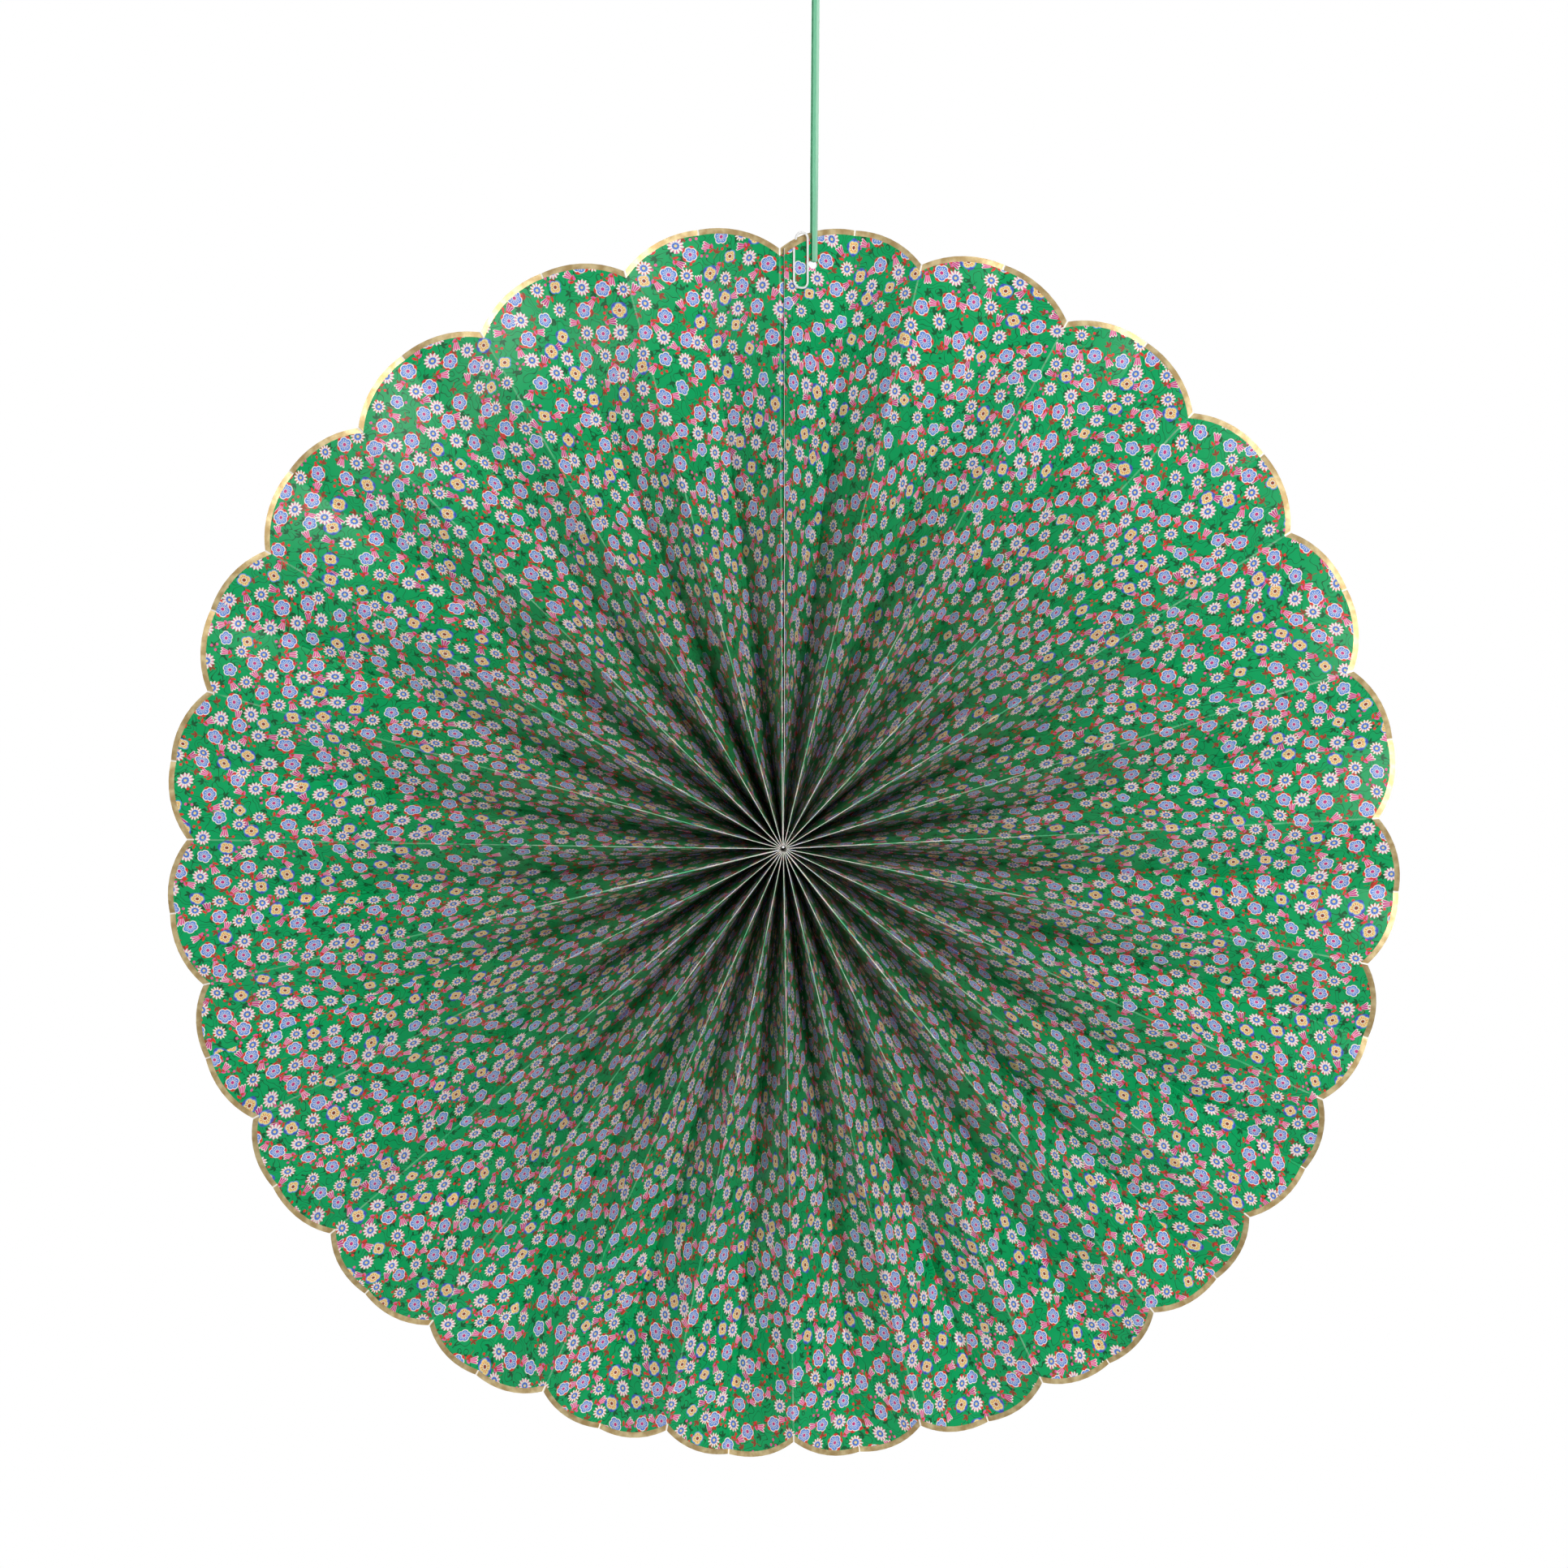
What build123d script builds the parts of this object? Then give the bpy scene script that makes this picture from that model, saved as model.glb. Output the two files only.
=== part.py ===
"""Paper fan medallion: three pleated card sheets joined into a round rosette, scalloped at the rim.

Frame: the disc stands upright in the XZ plane, its printed front faces -Y, +Z is up and the
origin is the centre of the hub. Angles run clockwise from the top, as seen from the front.
Even folds are ridges that stand out in front, odd folds are valleys at the back.
All lengths are in millimetres.
"""
import os
from math import cos, degrees, hypot, pi, radians, sin, sqrt

from build123d import *

# Card
PAPER = 0.2
CREASE_WIDTH = 0.3
LAYER_GAP = 0.06

# Disc
SCALLOPS = 26
NOTCH_RADIUS = 288.0
SCALLOP_DEPTH = 14.0
RIM_DEPTH = 10.5

# The hanging disc sags: its pleats stand wider apart at the top than at the bottom
SAG_DEGREES = 5.6
SAG_TWIST_DEGREES = 0.43
LAP_DEGREES = 1.7
LAP_EASE = 0.8

# Valley folds at which one sheet is glued to the next, counted clockwise from the top
SEAM_FOLDS = (19, 37)
GLUE_TAB = 12.0
UNDERLAP_SHORT = 2.0

# Thread that gathers the hub
THREAD = 0.5
THREAD_INSET = 5.7
THREAD_HOLE = 1.6
NEEDLE_STROKE = 0.6
THREAD_KNOT = 1.6
THREAD_KNOT_LENGTH = 0.6
FOLDS_FROM_KNOT_TO_TOP = 4

# Hanging hole, ribbon and its knot
HOLE_DIAMETER = 4.3
HOLE_FROM_LAP = 14.7
HOLE_BELOW_NOTCH = 6.1
RIBBON_WIDTH = 3.0
RIBBON_THICKNESS = 0.4
RIBBON_CLEARANCE = 0.3
RIBBON_FIT = 0.06
RIBBON_RISE = 138.0
RIBBON_OFFSET = 1.0
STRAND_SPREAD = 1.6
KNOT_WIDTH = 7.0
KNOT_DEPTH = 5.0
KNOT_HEIGHT = 6.0
KNOT_ROUNDING = 1.6
TAIL_LENGTH = 11.0
TAIL_SPLAY_DEGREES = 14.0

# Wire clip: its big loop lies in front of the card, its small loop behind
CLIP_WIRE = 1.07
CLIP_FROM_LAP = 5.2
CLIP_WIDTH = 6.6
CLIP_LENGTH = 26.8
CLIP_SMALL_WIDTH = 4.6
CLIP_SMALL_LENGTH = 20.9
CLIP_TURN_WIDTH = 5.6
CLIP_OPEN_END = 7.9
CLIP_ABOVE_RIM = 0.9
CLIP_CLEARANCE = 0.15
BEND_SLACK = 0.05

# Derived sizes
FOLDS = 2 * SCALLOPS
LAYERS = FOLDS + len(SEAM_FOLDS) + 1
LAYER_PITCH = PAPER + LAYER_GAP
HUB_RADIUS = LAYERS * LAYER_PITCH / (2 * pi)
MID_RADIUS = (HUB_RADIUS + NOTCH_RADIUS) / 2
THREAD_RING_RADIUS = HUB_RADIUS + THREAD_INSET


def fold_angle(fold):
    """Angle of a fold at the rim."""
    if fold == 0:
        return 0.0
    if fold == 1:
        return fold_angle(2) / 2
    turn = 2 * pi * fold / FOLDS
    sag = SAG_DEGREES * sin(turn) - SAG_TWIST_DEGREES * sin(2 * turn)
    lap = LAP_DEGREES * (1 - LAP_EASE * fold / FOLDS)
    return turn + radians(sag - lap)


def rim_chord(fold):
    """Mean width across the two pleat panels beside a fold, seen from the front at the rim."""
    last_pitch = fold_angle(FOLDS) - fold_angle(FOLDS - 1)
    before = fold_angle(fold - 1) if fold > 0 else -last_pitch
    after = fold_angle(fold + 1) if fold < FOLDS else fold_angle(FOLDS) + fold_angle(1)
    return (after - before) / 2 * NOTCH_RADIUS - CREASE_WIDTH


PLEAT_WIDTH = hypot(max(rim_chord(fold) for fold in range(FOLDS)), RIM_DEPTH)
SCALLOP_CURVE = (PLEAT_WIDTH**2 + SCALLOP_DEPTH**2) / (2 * SCALLOP_DEPTH)


def fold_depth(fold, radius):
    """Distance of a fold behind the disc's middle plane, negative for a front ridge.

    At the hub the panels stand edge-on, a whole pleat deep. At the rim they lie flatter,
    because their folds are further apart there.
    """
    rim_depth = sqrt(PLEAT_WIDTH**2 - rim_chord(fold) ** 2)
    depth = PLEAT_WIDTH - (PLEAT_WIDTH - rim_depth) * (radius / NOTCH_RADIUS) ** 2
    return depth / 2 if fold % 2 else -depth / 2


def lobe(width):
    """How far the scalloped edge stands past the notches, at a width from the notch fold."""
    return sqrt(SCALLOP_CURVE**2 - (PLEAT_WIDTH - width) ** 2) - SCALLOP_CURVE + SCALLOP_DEPTH


def slot(panel):
    """Place of a panel among the layers packed around the hub; each seam adds a layer."""
    return panel + sum(panel > seam for seam in SEAM_FOLDS)


def corner(panel, fold, radius):
    """Corner of a panel beside one of its folds, on the cylinder of a radius, unrolled.

    X is the distance across the pleats from the top and Y the depth.
    """
    side = 1 if fold == panel else -1
    return corner_in_slot(slot(panel), fold, side, radius)


def corner_in_slot(layer, fold, side, radius):
    hub_shift = (2 * pi * (layer + 0.5) / LAYERS - fold_angle(fold)) * HUB_RADIUS
    rim_shift = side * CREASE_WIDTH / 2
    share = (radius - HUB_RADIUS) / (NOTCH_RADIUS - HUB_RADIUS)
    shift = hub_shift * (1 - share) + rim_shift * share
    return Vector(fold_angle(fold) * radius + shift, fold_depth(fold, radius))


def panel_run(panel, radius):
    """Unit vector along a panel, from its first fold to its second."""
    return (corner(panel, panel + 1, radius) - corner(panel, panel, radius)).normalized()


def tab_fold(seam, radius):
    """Fold of the glue tab, one layer behind the panel that is glued on it."""
    run = panel_run(seam, radius)
    return corner(seam, seam, radius) + Vector(LAYER_PITCH / -run.Y, 0)


def tab_edge(seam, radius):
    return tab_fold(seam, radius) + panel_run(seam, radius) * GLUE_TAB


def seam_edge(seam, radius):
    """Cut edge of the sheet that starts in a seam, clear of the crease it stands in."""
    run = panel_run(seam, radius)
    return corner(seam, seam, radius) + run * ((PAPER / 2 * (1 + run.X) + LAYER_GAP) / -run.Y)


def underlap_edge(radius):
    """Far edge of the panel that ends the last sheet, behind the first sheet's first panel."""
    run = panel_run(0, radius)
    behind = Vector(-run.Y, run.X) * LAYER_PITCH
    end = corner(0, 1, radius) - run * UNDERLAP_SHORT + behind
    return end + Vector(2 * pi * radius, 0)


def sheet_corners(first, last):
    """Corner lines of one sheet, each as a function of the radius and its width in the flat."""
    corners = []
    for panel in range(first, last):
        for fold in (panel, panel + 1):
            width = PLEAT_WIDTH if fold % 2 else 0.0
            corners.append((lambda radius, at=(panel, fold): corner(*at, radius), width))
    if first in SEAM_FOLDS:
        corners[0] = (lambda radius: seam_edge(first, radius), PLEAT_WIDTH)
    if last in SEAM_FOLDS:
        corners.append((lambda radius: tab_fold(last, radius), PLEAT_WIDTH))
        corners.append((lambda radius: tab_edge(last, radius), PLEAT_WIDTH - GLUE_TAB))
    else:
        layer = slot(last - 1) + 1
        corners.append((lambda radius: corner_in_slot(layer, last, 1, radius), 0.0))
        corners.append((underlap_edge, PLEAT_WIDTH - UNDERLAP_SHORT))
    return corners


def skin_points(corners, index, radius):
    """Front and back point at a corner, half the card's thickness to either side of it."""
    here = corners[index][0](radius)
    normals = []
    for start in (index - 1, index):
        if 0 <= start < len(corners) - 1:
            run = (corners[start + 1][0](radius) - corners[start][0](radius)).normalized()
            normals.append(Vector(-run.Y, run.X))
    mitre = (normals[0] + normals[-1]) / (1 + normals[0].dot(normals[-1]))
    points = []
    for side in (-PAPER / 2, PAPER / 2):
        spot = here + mitre * side
        angle = spot.X / radius
        points.append(Vector(radius * sin(angle), spot.Y, radius * cos(angle)))
    return points


def rim_edge(start, end, bulge):
    """Cut edge between two corners: an arc of the scallop, or straight along a crease."""
    if bulge <= 0:
        return Edge.make_line(start, end)
    middle = (start + end) / 2
    outward = Vector(middle.X, 0, middle.Z).normalized()
    return Edge.make_three_point_arc(start, middle + outward * bulge, end)


def needle_holes(corners):
    """Holes for the hub's thread, one through each panel that is wide enough to reach it."""
    holes = []
    for left, right in zip(corners[::2], corners[1::2]):
        start, end = left[0](THREAD_RING_RADIUS), right[0](THREAD_RING_RADIUS)
        if start.Y * end.Y < 0:
            middle = start + (end - start) * (start.Y / (start.Y - end.Y))
            turn = Rot(0, degrees(middle.X / THREAD_RING_RADIUS), 0)
            hole = Rot(0, 90, 0) * Cylinder(THREAD_HOLE / 2, NEEDLE_STROKE)
            holes.append(turn * Pos(0, 0, THREAD_RING_RADIUS) * hole)
    return holes


def pleated_sheet(first, last):
    """One folded sheet: its skins are ruled between the corner lines, then sewn together."""
    corners = sheet_corners(first, last)
    rails = []
    for index, (_, width) in enumerate(corners):
        stations = (HUB_RADIUS, MID_RADIUS, NOTCH_RADIUS + lobe(width))
        lines = zip(*(skin_points(corners, index, radius) for radius in stations))
        rails.append([Edge.make_three_point_arc(*line) for line in lines])
    faces = []
    for index in range(len(corners) - 1):
        start, end = corners[index][1], corners[index + 1][1]
        bulge = lobe((start + end) / 2) - (lobe(start) + lobe(end)) / 2
        hub_edges, rim_edges = [], []
        for left, right in zip(rails[index], rails[index + 1]):
            faces.append(Face.make_surface_from_curves(left, right))
            hub_edges.append(Edge.make_line(left @ 0, right @ 0))
            rim_edges.append(rim_edge(left @ 1, right @ 1, bulge))
            if bulge > 0:
                chord = Edge.make_line(left @ 1, right @ 1)
                faces.append(Face(Wire([chord, rim_edges[-1]])))
        faces.append(Face.make_surface_from_curves(*hub_edges))
        faces.append(Face.make_surface_from_curves(*rim_edges))
    for rail in (rails[0], rails[-1]):
        faces.append(Face.make_surface_from_curves(*rail))
    return Solid(Shell(faces)) - needle_holes(corners)


def skin(sheet, x, z, back=False):
    """Point and outward normal of a sheet's skin, straight behind a place in the front view."""
    line = Axis((x, -PLEAT_WIDTH, z), (0, 1, 0))
    hits = sorted(sheet.find_intersection_points(line), key=lambda hit: hit[0].Y)
    point, normal = hits[-1] if back else hits[0]
    outward = 1 if back else -1
    return point, normal if normal.Y * outward > 0 else -normal


def over_skin(sheet, x, z, lift, back=False):
    """Place at a height over a skin; past the rim it keeps the depth of the card below."""
    point, normal = skin(sheet, x, min(z, NOTCH_RADIUS), back)
    spot = point + normal * lift
    return Vector(x, spot.Y + (spot.X - x) * normal.X / normal.Y, z)


def swept(path, section, across):
    """A section swept along a path, its own X axis laid across the path."""
    start = Plane(origin=path @ 0, x_dir=across, z_dir=path % 0)
    body = sweep(start * section, path=path)
    print("swept volume over section times length", round(body.volume / section.area / path.length, 4))
    return body


def thread_ring():
    """Thread through every layer of the hub, with its knot in the pocket under one ridge."""
    fold = FOLDS - FOLDS_FROM_KNOT_TO_TOP
    sides = [corner(panel, fold, THREAD_RING_RADIUS).X for panel in (fold - 1, fold)]
    angle = sum(sides) / 2 / THREAD_RING_RADIUS
    knot = Rot(0, 90, 0) * Cylinder(THREAD_KNOT / 2, THREAD_KNOT_LENGTH)
    knot = Rot(0, degrees(angle), 0) * Pos(0, 0, THREAD_RING_RADIUS) * knot
    return Rot(90, 0, 0) * Torus(THREAD_RING_RADIUS, THREAD / 2) + knot


def paper_clip(front_sheet, back_sheet):
    """Gem clip pushed over the rim: big loop in front of the card, small loop behind."""
    lift = CLIP_WIRE / 2 + CLIP_CLEARANCE
    left = CLIP_FROM_LAP
    right = left + CLIP_WIDTH
    top = NOTCH_RADIUS + lobe(right) + CLIP_ABOVE_RIM
    big_loop = [(left, top - CLIP_OPEN_END), (left, top - CLIP_LENGTH)]
    big_loop += [(right, top - CLIP_LENGTH), (right, top)]
    turn_left = right - CLIP_TURN_WIDTH
    small_right = turn_left + CLIP_SMALL_WIDTH
    small_loop = [(turn_left, top), (turn_left, top - CLIP_SMALL_LENGTH)]
    small_loop += [(small_right, top - CLIP_SMALL_LENGTH), (small_right, top - CLIP_OPEN_END)]
    points = [over_skin(front_sheet, x, z, lift) for x, z in big_loop]
    points += [over_skin(back_sheet, x, z, lift, back=True) for x, z in small_loop]
    widths = (CLIP_WIDTH, CLIP_WIDTH, CLIP_TURN_WIDTH, CLIP_TURN_WIDTH, CLIP_SMALL_WIDTH, CLIP_SMALL_WIDTH)
    path = FilletPolyline(*points, radius=[width / 2 - BEND_SLACK for width in widths])
    return swept(path, Circle(CLIP_WIRE / 2), (1, 0, 0))


def ribbon_route(front_point, back_point, normal):
    """Both straight strands of the ribbon and its fold through the hole, from knot to knot.

    The fold hangs the card at the highest place where the flat ribbon fits into the hole.
    """
    middle = (front_point + back_point) / 2
    fit = sqrt(HOLE_DIAMETER**2 - RIBBON_WIDTH**2) / 2 - RIBBON_THICKNESS / 2 - RIBBON_FIT
    reach = (front_point - back_point).length / 2 + RIBBON_CLEARANCE + RIBBON_THICKNESS / 2
    turn = middle + Vector(0, 0, fit)
    top = middle + Vector(RIBBON_OFFSET, 0, RIBBON_RISE)
    points = [top + normal * STRAND_SPREAD / 2, turn + normal * reach]
    points += [turn - normal * reach, top - normal * STRAND_SPREAD / 2]
    bend = reach - BEND_SLACK
    path = FilletPolyline(*points, radius=bend)
    print("ribbon length", round(path.length, 1), "bend radii", round(bend, 2), round(bend, 2))
    return path, top


def ribbon_knot(top, across):
    """Pressed knot that closes the ribbon into a loop, with its two short tails."""
    lump = Pos(0, 0, KNOT_HEIGHT / 2) * Box(KNOT_WIDTH, KNOT_DEPTH, KNOT_HEIGHT)
    soft_edges = lump.edges().filter_by(Axis.Z) + lump.edges().group_by(Axis.Z)[-1]
    lump = fillet(soft_edges, KNOT_ROUNDING)
    for turn in (-TAIL_SPLAY_DEGREES, TAIL_SPLAY_DEGREES):
        tail = Pos(0, 0, TAIL_LENGTH / 2) * Box(RIBBON_WIDTH, RIBBON_THICKNESS, TAIL_LENGTH)
        lump += Pos(0, 0, KNOT_HEIGHT - KNOT_ROUNDING) * Rot(0, turn, 0) * tail
    return Plane(origin=top, x_dir=across, z_dir=(0, 0, 1)) * lump


right_sheet = pleated_sheet(0, SEAM_FOLDS[0])
bottom_sheet = pleated_sheet(SEAM_FOLDS[0], SEAM_FOLDS[1])
left_sheet = pleated_sheet(SEAM_FOLDS[1], FOLDS)
hole_z = NOTCH_RADIUS - HOLE_BELOW_NOTCH
hole_front, hole_normal = skin(right_sheet, HOLE_FROM_LAP, hole_z)
hole_back, _ = skin(left_sheet, HOLE_FROM_LAP, hole_z, back=True)
hole_normal = Vector(hole_normal.X, hole_normal.Y, 0).normalized()
hole_across = Vector(-hole_normal.Y, hole_normal.X, 0)
hanging_hole = Plane(origin=hole_front, z_dir=hole_normal) * Cylinder(HOLE_DIAMETER / 2, PLEAT_WIDTH / 2)
route, ribbon_top = ribbon_route(hole_front, hole_back, hole_normal)

parts = {
    "pleated_sheet_right": right_sheet - hanging_hole,
    "pleated_sheet_bottom": bottom_sheet,
    "pleated_sheet_left": left_sheet - hanging_hole,
    "hub_thread": thread_ring(),
    "paper_clip": paper_clip(right_sheet, left_sheet),
    "hanging_ribbon": swept(route, Rectangle(RIBBON_WIDTH, RIBBON_THICKNESS), hole_across),
    "ribbon_knot": ribbon_knot(ribbon_top, hole_across),
}

os.makedirs("parts", exist_ok=True)
for node, shape in parts.items():
    export_step(shape, f"parts/{node}.step")
    box = shape.bounding_box()
    print(node, shape.is_valid, len(shape.solids()), round(shape.volume, 1), box.min, box.max)
print("hub radius", round(HUB_RADIUS, 2))
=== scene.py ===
# %% [markdown]
# # A pleated paper fan medallion
#
# The real object is a long strip of printed card, folded like an accordion and opened into a full
# disc. Its scalloped edge carries a line of gold foil, a wire clip closes the disc at the top, and
# a narrow woven ribbon runs through a punched hole to hang it.
#
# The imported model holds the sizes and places. This lesson dresses it step by step: the camera and
# the ribbon's tape, the helpers for formulas and finishes, the light, the card's print and
# surfaces, the folded card itself, and last the clip, the ribbon's weave, the knot and the thread.

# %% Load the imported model
from math import atan2, cos, hypot, pi, radians, sin, sqrt

import bmesh
import bpy
import numpy as np
from mathutils import Matrix, Vector


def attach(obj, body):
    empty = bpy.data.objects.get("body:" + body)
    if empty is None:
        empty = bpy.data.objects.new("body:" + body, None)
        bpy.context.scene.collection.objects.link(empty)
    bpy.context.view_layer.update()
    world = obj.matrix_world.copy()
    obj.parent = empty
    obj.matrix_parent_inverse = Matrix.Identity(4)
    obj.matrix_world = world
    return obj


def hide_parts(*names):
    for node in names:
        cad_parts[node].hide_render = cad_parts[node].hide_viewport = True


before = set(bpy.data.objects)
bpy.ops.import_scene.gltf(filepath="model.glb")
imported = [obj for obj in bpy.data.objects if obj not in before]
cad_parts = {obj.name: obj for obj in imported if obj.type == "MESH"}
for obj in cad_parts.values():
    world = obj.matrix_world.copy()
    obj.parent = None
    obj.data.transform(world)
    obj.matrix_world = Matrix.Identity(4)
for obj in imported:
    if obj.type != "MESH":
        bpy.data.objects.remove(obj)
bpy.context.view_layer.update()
MM = 0.001
print("packed nodes:", ", ".join(sorted(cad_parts)))

# %% [markdown]
# ## From data to an object
#
# Blender keeps a mesh, a lamp or a camera as data, and an object puts it into the scene. Every
# piece below needs that step, so it gets a short helper. Two more turn a finished bmesh into an
# object, and a curve or an object with modifiers into a plain mesh.

# %% Define the object helpers


def new_object(name, data):
    """A new object in the scene."""
    piece = bpy.data.objects.new(name, data)
    bpy.context.scene.collection.objects.link(piece)
    return piece


def built(name, build):
    """An object made from a finished bmesh."""
    mesh = bpy.data.meshes.new(name)
    build.to_mesh(mesh)
    build.free()
    return new_object(name, mesh)


def evaluated_mesh(piece):
    """The plain mesh that a curve or an object with modifiers comes to."""
    bpy.context.view_layer.update()
    depsgraph = bpy.context.evaluated_depsgraph_get()
    return bpy.data.meshes.new_from_object(piece.evaluated_get(depsgraph))


print("object helpers ready")

# %% [markdown]
# ## The camera
#
# The disc hangs square to the camera, which stands a little above the hub and looks slightly down,
# so the lower pleats look a touch smaller than the upper ones. The lens follows from the width that
# the picture shows in the plane of the hub. These lengths and places are metres, like the model's.

# %% Place the camera
PICTURE_WIDTH = 0.7618
PICTURE_CENTRE = Vector((0.0004, 0, 0.0307))
CAMERA_DISTANCE = 1.2
CAMERA_HEIGHT = 0.0635


def place_camera():
    """The scene's camera, aimed at the centre of the picture."""
    data = bpy.data.cameras.new("photo_camera")
    data.lens = data.sensor_width * CAMERA_DISTANCE / PICTURE_WIDTH
    camera = new_object("photo_camera", data)
    camera.location = (PICTURE_CENTRE.x, -CAMERA_DISTANCE, CAMERA_HEIGHT)
    aim = PICTURE_CENTRE - camera.location
    camera.rotation_euler = aim.to_track_quat("-Z", "Y").to_euler()
    bpy.context.scene.camera = camera
    return camera


photo_camera = place_camera()
print("lens in mm:", round(photo_camera.data.lens, 1))

# %% [markdown]
# ## The hanging ribbon's line
#
# The ribbon is one length of narrow woven tape. It runs down from its knot in front of the card,
# folds through the punched hole and runs up again behind. Because it carries the medallion it is
# straight, apart from the tight fold that holds the edge of the hole. A NURBS spline, which is led
# by a few points, gives that line. The first four lie in front of the card, from the knot down, and
# the last four behind it, from the hole up. The points near the fold keep it tight, and those
# higher up keep the rest straight.

# %% Draw the ribbon's line
RIBBON_ROUTE = [
    (0.016098, -0.001092, 0.4199),
    (0.015293, -0.001202, 0.3012),
    (0.015184, -0.001217, 0.2850),
    (0.015171, -0.001219, 0.28318),
    (0.014229, 0.000423, 0.28318),
    (0.014244, 0.000421, 0.2850),
    (0.014370, 0.000406, 0.3012),
    (0.015302, 0.000296, 0.4199),
]
SPLINE_STEPS = 24


def spline_line(name, points, steps):
    """Points along a smooth spline, read from Blender's own curve."""
    curve = bpy.data.curves.new(name, "CURVE")
    curve.dimensions = "3D"
    curve.resolution_u = steps
    spline = curve.splines.new("NURBS")
    spline.points.add(len(points) - 1)
    for control, place in zip(spline.points, points):
        control.co = (*place, 1)
    spline.order_u = 3
    spline.use_endpoint_u = True
    guide = new_object(name, curve)
    line = [vertex.co.copy() for vertex in evaluated_mesh(guide).vertices]
    bpy.data.objects.remove(guide)
    return line


ribbon_line = spline_line("ribbon_line", RIBBON_ROUTE, SPLINE_STEPS)
ribbon_length = sum((b - a).length for a, b in zip(ribbon_line, ribbon_line[1:]))
print("ribbon line:", len(ribbon_line), "points,", round(ribbon_length / MM, 1), "mm")

# %% [markdown]
# ## From a line to a tape
#
# A tape has a width direction as well as a line. In the hole it lies along the card, and above the
# card it turns to face the front, so the width direction turns a little with height. Satin tape
# also takes a soft lengthwise crease, which gives it one lighter and one darker half. So the
# section is a thin roof, whose points are shares of the tape's width and of the crease's height. It
# is joined from point to point, and the flat width and length are kept as a UV map, which the weave
# will follow.

# %% Make the tape
RIBBON_WIDTH = 3.0 * MM
RIBBON_THICKNESS = 0.28 * MM
RIBBON_CREASE = 0.3 * MM
ROOF_SHAPE = [(-0.5, 0.0), (0.03, 1.0), (0.08, 1.0), (0.5, 0.0)]
TURN_START_HEIGHT = 0.300
TURN_END_HEIGHT = 0.345
CARD_RUN_X, CARD_RUN_Y = 0.867108, 0.49812
HOLE_ANGLE = atan2(CARD_RUN_Y, CARD_RUN_X)


def tape_across(height):
    """Width direction of the tape at a height: along the card at the hole, sideways above it."""
    share = (height - TURN_START_HEIGHT) / (TURN_END_HEIGHT - TURN_START_HEIGHT)
    share = min(max(share, 0), 1)
    angle = HOLE_ANGLE * (1 - share * share * (3 - 2 * share))
    return Vector((cos(angle), sin(angle), 0))


def tape_outline():
    """Points around the tape's section: how far across, and how far out of its plane."""
    half = RIBBON_THICKNESS / 2
    front = [(a * RIBBON_WIDTH, h * RIBBON_CREASE + half) for a, h in ROOF_SHAPE]
    rear = [(a * RIBBON_WIDTH, h * RIBBON_CREASE - half) for a, h in reversed(ROOF_SHAPE)]
    return front + rear


def tape_mesh(name, line):
    """The tape along its line, with its UV map in metres."""
    outline = tape_outline()
    build = bmesh.new()
    uv_layer = build.loops.layers.uv.new("UVMap")
    rings, along, travelled = [], [], 0.0
    for index, place in enumerate(line):
        following = line[min(index + 1, len(line) - 1)]
        ahead = following - line[max(index - 1, 0)]
        across = tape_across(place.z)
        across = (across - ahead * across.dot(ahead) / ahead.length_squared).normalized()
        outward = ahead.normalized().cross(across)
        rings.append([build.verts.new(place + across * a + outward * h) for a, h in outline])
        along.append(travelled)
        travelled += (following - place).length
    for index in range(len(rings) - 1):
        for step in range(len(outline)):
            other = (step + 1) % len(outline)
            corners = [(index, step), (index, other), (index + 1, other), (index + 1, step)]
            face = build.faces.new([rings[ring][spot] for ring, spot in corners])
            for loop, (ring, spot) in zip(face.loops, corners):
                loop[uv_layer].uv = (outline[spot][0], along[ring])
    for end in (rings[0], rings[-1]):
        build.faces.new(end)
    bmesh.ops.recalc_face_normals(build, faces=build.faces)
    return built(name, build)


hanging_tape = tape_mesh("hanging_tape", ribbon_line)
print("tape faces:", len(hanging_tape.data.polygons))

# %% [markdown]
# ## Writing formulas as nodes
#
# Both the folded card and its print are described by formulas. A small helper class makes them
# readable: it wraps a number that flows through a node tree, and each sum, product or sine adds the
# Math node for it. The same class serves geometry trees and materials.

# %% Define the formula helper


def add_node(tree, kind, inputs, **settings):
    """A node with its settings, and each given input linked or set to a value."""
    node = tree.nodes.new(kind)
    for name, value in settings.items():
        setattr(node, name, value)
    for label, source in inputs.items():
        source = source.socket if isinstance(source, Flow) else source
        if isinstance(source, bpy.types.NodeSocket):
            tree.links.new(source, node.inputs[label])
        else:
            node.inputs[label].default_value = source
    return node


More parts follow.
